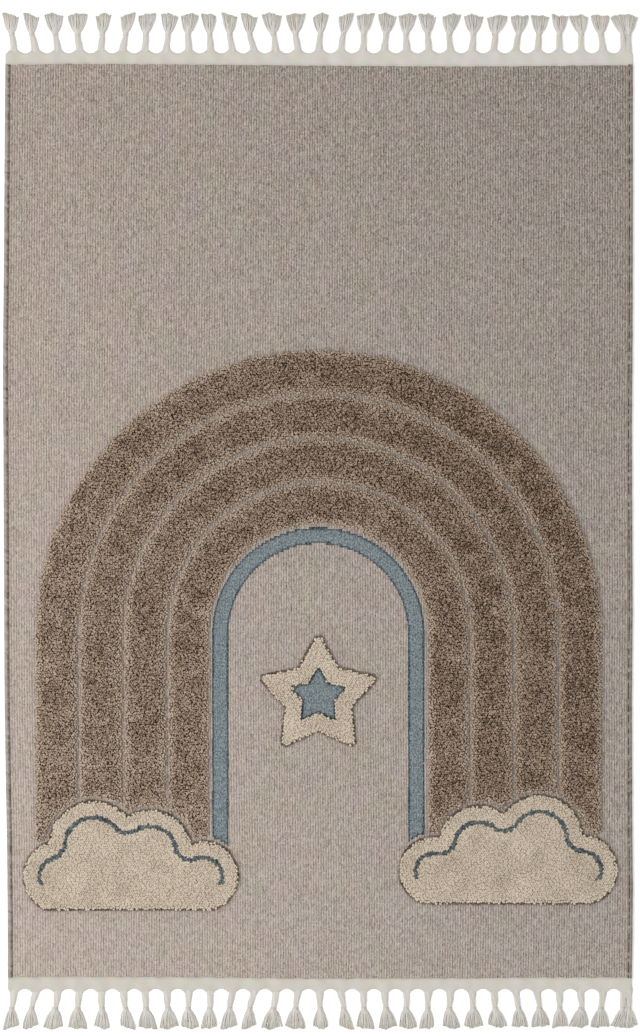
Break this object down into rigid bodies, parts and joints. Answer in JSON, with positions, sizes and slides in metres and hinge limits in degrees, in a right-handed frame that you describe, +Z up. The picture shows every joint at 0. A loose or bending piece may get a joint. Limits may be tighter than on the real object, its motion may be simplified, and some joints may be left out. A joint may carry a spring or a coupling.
{
  "type": "kids rug",
  "caption": "Flat kids rug with a ribbed woven ground, a carved high-pile rainbow, clouds and a star, overcast sides and a tasselled tape at each end.",
  "frame": {"origin": "middle of the rug's footprint with its tassels, on the floor", "axes": "+Y along the rug towards its plain end, +X across it to the right, +Z up"},
  "size_m": [1.2164, 1.9526, 0.0144],
  "materials": {
    "ground_weave": "matte heathered flat weave with fine ribs",
    "brown_pile": "matte cut high pile",
    "cream_pile": "matte dense cut pile",
    "blue_weave": "matte low flat weave",
    "edging_yarn": "matte overcast yarn",
    "tassel_yarn": "matte cotton tape and yarn"
  },
  "bodies": {
    "root": {"rug_cloth": "ground_weave", "side_edging_left": "edging_yarn", "side_edging_right": "edging_yarn", "tassel_tape_top": "tassel_yarn", "tassel_tape_bottom": "tassel_yarn"}
  },
  "joints": []
}
